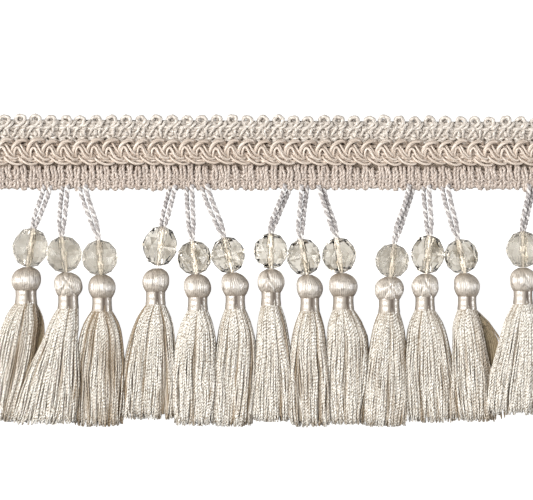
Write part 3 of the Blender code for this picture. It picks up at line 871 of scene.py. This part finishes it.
def bound_neck(row, phase, crease):
    """Radius = neck * (1 + a little for each turn of the binding) less one crease, from the head down."""
    top = head_half_height(row) - 0.6
    drop = np.linspace(top, NECK_DROP, 54)[:, None]
    angle = 2 * np.pi * np.arange(40)[None] / 40
    part = (drop - top) / (NECK_DROP - top)
    wrap = np.abs(np.sin(np.pi * BINDING_TURNS * part + angle / 2 + phase))
    tuck = 0.09 * np.clip((part - 0.86) / 0.14, 0, 1) ** 2
    girth = 0.93 + 0.03 * wrap - 0.05 * np.sin(np.pi * part) + 0.07 * part - tuck
    girth = row["head_w"] / 2 * NECK * girth * (1 - 0.06 * bell(angle, crease, 0.14))
    # Painted shade and painted highlight: dark along the crease and at both edges, with a bright painted
    # highlight band left of the middle, and small stripes round the binding.
    tone = 0.82 - bell(angle, crease, 0.2) - 0.6 * np.abs(np.cos(angle)) ** 8
    tone = tone + 0.45 * bell(angle, 1.05, 0.36) + 0.12 * np.sin(9 * angle + phase)
    return turned_skin(row, 0.0, drop, girth, angle, tone)


print("the necks' half widths in mm", [round(row["head_w"] / 2 * NECK, 1) for row in TASSELS])


# %% The skirt's outline
def skirt_length(row):
    """The way down from the foot of the bound neck to the hem."""
    return row["head_y"] - NECK_DROP - row["hem_y"]


def squarer(part):
    """The size of a cosine or sine to the power 0.75, with its own sign: a circle turns squarer."""
    return np.sign(part) * np.abs(part) ** 0.75


def skirt_edges(row, drop):
    """Left, right, middle height and half thickness of the skirt at each drop below the neck."""
    radius = row["head_w"] / 2
    neck = radius * NECK
    belly_mid = (row["belly_l"] + row["belly_r"]) / 2
    belly_half = (row["belly_r"] - row["belly_l"]) / 2
    crown_x = row["head_x"] + (belly_mid - row["head_x"]) * 5.2 / 9.0
    crown_half = neck + (belly_half - neck) * 0.78
    hem = skirt_length(row)
    knots = [-2.0, 0.0, 0.8, 2.9, 5.2, 9.0, (9.0 + hem) / 2, hem]
    x = row["head_x"]

    def side(sign, belly, low):
        """One edge: out from the neck over the crown to the belly, and on down to the hem."""
        crown = crown_x + sign * crown_half
        at_neck = x + sign * neck * 1.02
        shoulder = [at_neck + (crown - at_neck) * part for part in (0.22, 0.68)]
        bulge = belly + (low - belly) * 0.5 + sign * 0.75
        values = [x + sign * neck * 0.92, at_neck, *shoulder, crown, belly, bulge, low]
        return eased(drop, knots, values)

    left = side(-1, row["belly_l"], row["hem_l"])
    right = side(1, row["belly_r"], row["hem_r"])
    level = radius * LEVEL
    height = eased(drop, knots, [level, level, level - 0.1, 3.5, 3.2, 2.9, 2.3, 1.75])
    thick = eased(drop, knots, [neck * 0.92, neck * 1.02, neck * 1.03, 3.2, 3.05, 2.75, 2.1, 1.5])
    return left, right, height, thick


def skirt_place(row, drop, angle, layer=1.0):
    """Blends a place on the neck's circle into one on the skirt's flat oval.

    Gives the middle and half width, the place across, the height and half thickness, and the
    place in depth. The layer is 1 on the outside and less further in.
    """
    left, right, height, thick = skirt_edges(row, drop)
    spread = np.clip(drop / 7.0, 0, 1)
    spread = spread * spread * (3 - 2 * spread)
    across, deep = (
        part * layer + (squarer(part) * layer - part * layer) * spread
        for part in (np.cos(angle), np.sin(angle))
    )
    return (left + right) / 2, (right - left) / 2, across, height, thick, deep


def skirt_core(row, recess, tone=0.5, ceiling=1.0):
    """A plain body inside the strands, so that no gap shows through.

    It has 0.84 of their width and 0.78 of their depth, and ends a recess above the hem.
    """
    angle = 2 * np.pi * np.arange(48)[None] / 48
    drop = np.linspace(-1.5, skirt_length(row) - recess, 26)[:, None]
    middle, half, across, height, thick, deep = skirt_place(row, drop, angle)
    x = middle - 0.84 * half * across
    z = np.maximum(height + 0.78 * thick * np.minimum(deep, ceiling), 0.05)
    y = row["head_y"] - NECK_DROP - drop + 0 * angle
    return skin(np.stack([x, y, z], axis=-1) * MM, tone)


print("the skirts' lengths in mm", [round(skirt_length(row), 1) for row in TASSELS])


# %% [markdown]
# ### The skirt's strands
# Loose floss gathers into locks: the strands of one lock slant and rise together, and those
# between two locks lie deeper and are painted darker, as painted shade. The hem is frayed, because
# strands cut in one stroke spring back to different lengths. On two tassels a lobe of floss shows
# behind the rest, in a darker copy of the inner floss that is painted shade.

# %% Strands in locks
STRAND_RADIUS = 0.25
OUTER_STRANDS, INNER_STRANDS = 78, 56
STATIONS, STRAND_SIDES = 17, 5


def reaching(row, belly_r, hem_r):
    """The same row of measures with another right edge to its skirt."""
    return {**row, "belly_r": belly_r, "hem_r": hem_r}


def steps_round(chance):
    """An angle for each strand, at even steps of length round the oval, and half as many behind.

    The outer layer's strands come first, and the inner layer's after them.
    """
    turn = np.linspace(0, 2 * np.pi, 721)
    oval = np.stack([6.0 * squarer(np.cos(turn)), 2.75 * squarer(np.sin(turn))])
    step = np.linalg.norm(np.diff(oval), axis=0) * np.where(turn[1:] < np.pi, 1, 0.5)
    length = np.concatenate([[0], np.cumsum(step)])
    places = [
        (np.arange(n) + chance.uniform(-0.38, 0.38, n)) / n % 1 * length[-1]
        for n in (OUTER_STRANDS, INNER_STRANDS)
    ]
    return np.interp(np.concatenate(places), length, turn)[:, None]


def skirt_strands(row, seed, front, paleness, rear=None, shade=0.0):
    """Strand = middle + half width * its place across + half thickness * its place in depth.

    A lock runs between two zeros of a sine round the oval, and slants and rises as one.
    """
    chance = np.random.default_rng(seed)
    count = OUTER_STRANDS + INNER_STRANDS
    angle = steps_round(chance)
    layer = np.repeat([1.0, 0.9], [OUTER_STRANDS, INNER_STRANDS])[:, None]
    layer = layer - chance.uniform(0, 0.08, (count, 1))
    a, d = np.cos(angle), np.sin(angle)
    hem_drop = skirt_length(row)
    end = hem_drop + 0.2 - 1.7 * chance.uniform(0, 1, count) ** 1.3 - 0.7 * np.abs(a[:, 0]) ** 5
    drop = -2.0 + (end[:, None] + 2.0) * np.linspace(0, 1, STATIONS)[None] ** 1.1
    middle, half, across, height, thick, deep = skirt_place(row, drop, angle, layer)
    behind = np.zeros((count, 1), bool)
    if rear is not None:
        behind = d < -0.05
        left = middle - half
        lobe, shorn = (skirt_edges(reaching(row, *edge), drop)[1] for edge in rear)
        right = np.where(behind, lobe, shorn)
        middle, half = (left + right) / 2, (right - left) / 2
    wave = chance.uniform(0, 2 * np.pi, (3, count, 1))
    loose = np.clip(drop / 20, 0, 1)
    sway = loose * (0.4 * np.sin(drop * 0.16 + wave[0]) + 0.1 * np.sin(drop * 0.5 + wave[1]))
    lift = loose * 0.25 * np.sin(drop * 0.25 + wave[2])
    frayed = np.clip((drop - hem_drop) / 4.5 + 1, 0, 1) ** 2
    sway = sway + frayed * chance.normal(0, 0.4, (count, 1))
    between = 5.5 * angle + 0.7 * seed + 0.6 * np.sin(3 * angle)
    lock = np.floor(between / np.pi).astype(int)
    lock = lock - lock.min()
    slant, raised = chance.normal(0, (0.5, 0.35), (lock.max() + 1, 2)).T
    low = np.clip(drop / hem_drop, 0, 1) ** 1.5
    sway = sway + slant[lock] * low
    lift = lift + np.abs(raised[lock]) * low
    x = middle + (half - STRAND_RADIUS + 0.5 * loose) * across + sway
    part = np.exp(-((np.sin(between) / 0.29) ** 2))
    sunk = 0.5 * part * np.clip(drop / 6, 0, 1)
    z = height + (thick - STRAND_RADIUS - sunk) * deep + lift
    z = np.maximum(z, STRAND_RADIUS + 0.03) + front * loose
    y = row["head_y"] - NECK_DROP - drop
    radius = STRAND_RADIUS * chance.uniform(0.85, 1.2, (count, 1)) * (0.8 + 0.2 * np.clip(drop / 5, 0, 1))
    radius[:, -1] *= 0.8
    # Painted shade: darker on the right side and at both edges, more below the neck where a skirt has extra
    # side shade, on the right of the strands behind, and in the inner layer.
    below = np.clip(drop / 5 - 0.2, 0, 1)
    shaded = (0.36 + shade * below) * np.maximum(a, 0) ** 2 + 0.12 * np.abs(a) ** 3
    shaded = shaded + 0.5 * below * (behind & (a > 0.1)) + 0.25 * (layer < 0.91)
    # Locks differ in tone at random, and the strands between two locks are painted darker, as painted shade
    # where they lie deeper.
    locks = np.sin(7 * angle + seed) + 0.6 * np.sin(13 * angle + 2 * seed)
    locks = 0.16 * locks - 0.95 * part
    # Painted sheen in bands along the locks, and painted shade just under the neck.
    painted_sheen_and_shade = 0.15 * np.sin(drop * 0.32 + 3 * np.sin(2 * angle + seed) + seed)
    painted_sheen_and_shade = painted_sheen_and_shade - 0.25 * np.exp(-((drop / 3) ** 2))
    tone = paleness + locks + painted_sheen_and_shade + chance.normal(0, 0.2, (count, 1)) - shaded
    strands = np.stack([x, y, z], axis=-1) * MM
    return sweep(strands, radius * MM, STRAND_SIDES, np.clip(tone, 0, 1), chance.uniform(0, 4, count))


print(OUTER_STRANDS + INNER_STRANDS, "strands in each skirt")


# %% Floss and skirt finishes
head_floss = yarn_finish(
    "head_floss", (0.20, 0.155, 0.115), (0.29, 0.22, 0.155), (0.75, 0.685, 0.605),
    plies=40, turns=0.0, fibre=0.8, relief=0.2, lustre=1.0, index=1.8, combed=0.75, streaks=3.6,
)
neck_floss = yarn_finish(
    "neck_binding", (0.13, 0.10, 0.075), (0.165, 0.125, 0.095), (0.68, 0.605, 0.52),
    plies=1, turns=3.2, fibre=0.5, relief=0.03, dullness=0.23, lustre=1.0, index=1.9, combed=-0.6,
    streaks=0.8,
)
skirt_yarn = yarn_finish(
    "skirt_strands", (0.26, 0.19, 0.115), (0.345, 0.255, 0.158), (1.0, 0.97, 0.90),
    plies=2, turns=1.0, softness=0.9, fibre=0.6, relief=0.2, dullness=0.36, lustre=1.0, speckle=2.8,
)
core_floss = yarn_finish(
    "skirt_inner_floss", (0.34, 0.27, 0.19), (0.70, 0.61, 0.49), (0.90, 0.83, 0.72),
    plies=52, turns=0.0, softness=0.8, fibre=0.8, relief=0.2, dullness=0.5, lustre=0.6, speckle=1.6,
)
# The lobes behind have a darker copy of the inner floss: painted shade.
shaded_floss = yarn_finish(
    "skirt_floss_behind_shaded", (0.24, 0.185, 0.115), (0.42, 0.33, 0.20), (0.74, 0.60, 0.40),
    plies=44, turns=0.0, softness=0.9, fibre=0.9, relief=0.4, dullness=0.5, lustre=0.6, streaks=3.0,
    speckle=3.0,
)
FINISHES = [head_floss, neck_floss, skirt_yarn, core_floss, shaded_floss]
print("finishes of a tassel:", ", ".join(finish.name for finish in FINISHES))

# %% Make the tassels
# Ridges of floss round each head, how far they slant, and the height of its lumps.
RIDGES = [34, 30, 36, 32, 36, 34, 32, 36, 38, 30, 34, 36, 34, 36, 32]
SLANT = [0.1, 0.25, 0.0, 0.05, 0.0, -0.1, 0.1, 0.0, 0.05, 0.6, 0.35, 0.0, 0.1, 0.0, 0.2]
LUMP = [0.02, 0.05, 0.01, 0.015, 0.03, 0.015, 0.02, 0.02, 0.01, 0.05, 0.03, 0.01, 0.02, 0.02, 0.03]
# How pale each head is, and each skirt, and where round the neck its binding has a shallow crease, painted
# dark with painted shade.
PALE = [0.9, 1.15, 0.85, 0.9, 0.85, 0.9, 1.0, 1.0, 0.8, 1.15, 1.15, 0.85, 1.05, 0.9, 0.85]
SKIRT_PALE = [0.99, 1.3, 0.62, 1.12, 1.43, 1.16, 1.11, 0.98, 1.08, 1.04, 1.12, 1.1, 1.53, 1.16, 1.11]
SHADED_CREASE = [1.9, 1.7, 1.85, 1.8, 2.0, 1.7, 1.9, 1.8, 1.95, 1.8, 1.9, 1.75, 1.95, 1.8, 1.85]
# How far each skirt lies in front of its neighbours, and extra shade on some skirts' right sides.
FRONT = [0, 1.6, 0, 0, 0.5, 0, 0, 0.5, 0, 0.4, 0, 0.6, 1.6, 0, 0.3]
SIDE = {1: 0.85, 4: 0.2, 7: 0.3, 10: 0.3, 11: 0.2, 12: 0.5}
# Folds in the heads that have some: the place round the head, the slope down it, and the depth.
FOLDS = {
    2: [(1.45, -0.6, 0.14), (1.7, 0.65, 0.13), (1.15, 0.3, 0.06)],
    7: [(1.6, 0.5, 0.14), (1.3, -0.5, 0.08)],
    10: [(1.6, -0.6, 0.09), (1.7, 0.55, 0.09), (2.3, 0.3, 0.05)],
    11: [(1.5, -0.45, 0.1), (1.75, 0.5, 0.12)],
    13: [(1.9, 0.5, 0.08)],
}
# The right edge at the belly and the hem of the two lobes behind, and of the skirts before them.
REAR = {1: ((-76.4, -80.0), (-78.6, -84.5)), 12: ((59.8, 60.5), (54.9, 56.8))}
# A lobe's tone is palest by the neck and darker from about 5 mm down.
LOBE_TONE = np.clip(1.9 - np.arange(26)[:, None] / 4.5, 0, 1)
for number, row in enumerate(TASSELS, start=1):
    k = number - 1
    head = floss_head(row, RIDGES[k], SLANT[k], LUMP[k], 0.7 * number, PALE[k], FOLDS.get(number, ()))
    rear, shade = REAR.get(number), SIDE.get(number, 0.0)
    strands = skirt_strands(row, 100 + number, FRONT[k], SKIRT_PALE[k], rear, shade)
    surfaces = [head, bound_neck(row, 0.5 * number, SHADED_CREASE[k]), strands]
    if rear is None:
        surfaces.append(skirt_core(row, 1.7))
    else:
        (belly, hem), shorn = rear
        surfaces.append(skirt_core(reaching(row, *shorn), 1.7))
        surfaces.append(skirt_core(reaching(row, belly + 0.3, hem), 3.5, LOBE_TONE, -0.15))
    tassel = dress(f"floss_tassel_{number:02d}", surfaces, f"tassel_{number:02d}", FINISHES)
print("each tassel", triangles(tassel), "triangles")

# %% [markdown]
# ## Table, light and camera
# The trim was photographed from straight above on white. A large soft lamp from the left and a
# weaker, lower one at the right give the necks part of their bright and dark stripes, and painted
# highlight and painted shade in the bindings' colour give the rest. The table is pale and shows
# nearly white to the camera, and only its faintest shadows are left.


# %% The white table
def table_finish():
    """White where the camera sees it, about half as bright through the beads, and grey to lamps."""
    made, tree, shader = new_material("white_table")
    shader.inputs["Base Color"].default_value = (0.28, 0.28, 0.28, 1)
    shader.inputs["Roughness"].default_value = 0.9
    shader.inputs["Emission Color"].default_value = (1, 1, 1, 1)
    path = add_node(tree, "ShaderNodeLightPath")
    through_glass = maths(tree, "MINIMUM", path.outputs["Transmission Depth"], 1.0)
    glimpsed = maths(tree, "MULTIPLY", through_glass, 0.52)
    seen = maths(tree, "MAXIMUM", path.outputs["Is Camera Ray"], glimpsed)
    tree.links.new(seen, shader.inputs["Emission Strength"])
    return made


floor_mesh = bpy.data.meshes.new("table_top")
floor_mesh.from_pydata([(-2, -2, 0), (2, -2, 0), (2, 2, 0), (-2, 2, 0)], [], [(0, 1, 2, 3)])
floor_mesh.materials.append(table_finish())
table_top = placed("table_top", floor_mesh)
print("table", [round(side, 1) for side in table_top.dimensions], "m")


# %% Lamps
def soft_lamp(name, towards, distance, size, power, colour):
    """A rectangular lamp, distance away in the direction towards, facing the middle of the trim."""
    data = bpy.data.lights.new(name, "AREA")
    data.shape = "RECTANGLE"
    data.size, data.size_y = size
    data.energy = power
    data.color = colour
    lamp = placed(name, data)
    away = unit(np.array(towards, float))
    lamp.location = away * distance
    lamp.rotation_euler = Vector(away).to_track_quat("Z", "Y").to_euler()
    return lamp


left = soft_lamp("left_lamp", (-0.68, 0.05, 0.73), 2.4, (1.5, 3.4), 112.0, (1.0, 0.985, 0.96))
right = soft_lamp("right_lamp", (0.97, -0.05, 0.25), 2.4, (1.5, 1.2), 40.0, (0.97, 0.985, 1.0))
world = bpy.data.worlds.new("studio")
world.use_nodes = True
tree = world.node_tree
background = tree.nodes["Background"]
background.inputs["Color"].default_value = (0.93, 0.95, 1.0, 1)
path = add_node(tree, "ShaderNodeLightPath")
through_glass = maths(tree, "MINIMUM", path.outputs["Transmission Depth"], 1.0)
brightness = maths(tree, "MULTIPLY_ADD", through_glass, 0.5, 0.16)
tree.links.new(brightness, background.inputs["Strength"])
bpy.context.scene.world = world
print("lamps of", left.data.energy, "and", right.data.energy, "watts")

# %% Camera straight above
LENS, SENSOR = 225.0, 36.0
VIEW_WIDTH = 0.1599
camera_data = bpy.data.cameras.new("above")
camera_data.lens = LENS
camera_data.sensor_width = SENSOR
camera_data.clip_start = 0.01
camera_data.clip_end = 10.0
camera = placed("above", camera_data)
camera.location = (-0.01035, 0.0060, VIEW_WIDTH * LENS / SENSOR)
bpy.context.scene.camera = camera
bpy.context.scene.view_settings.view_transform = "Standard"
print("the camera is", round(camera.location.z, 3), "m above the table")

# %% Count the dressed pieces' triangles, and finish
meshes = [o for o in bpy.context.scene.objects if o.type == "MESH"]
pieces = [o for o in meshes if o.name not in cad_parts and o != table_top]
print("all pieces", sum(triangles(o) for o in pieces), "triangles")
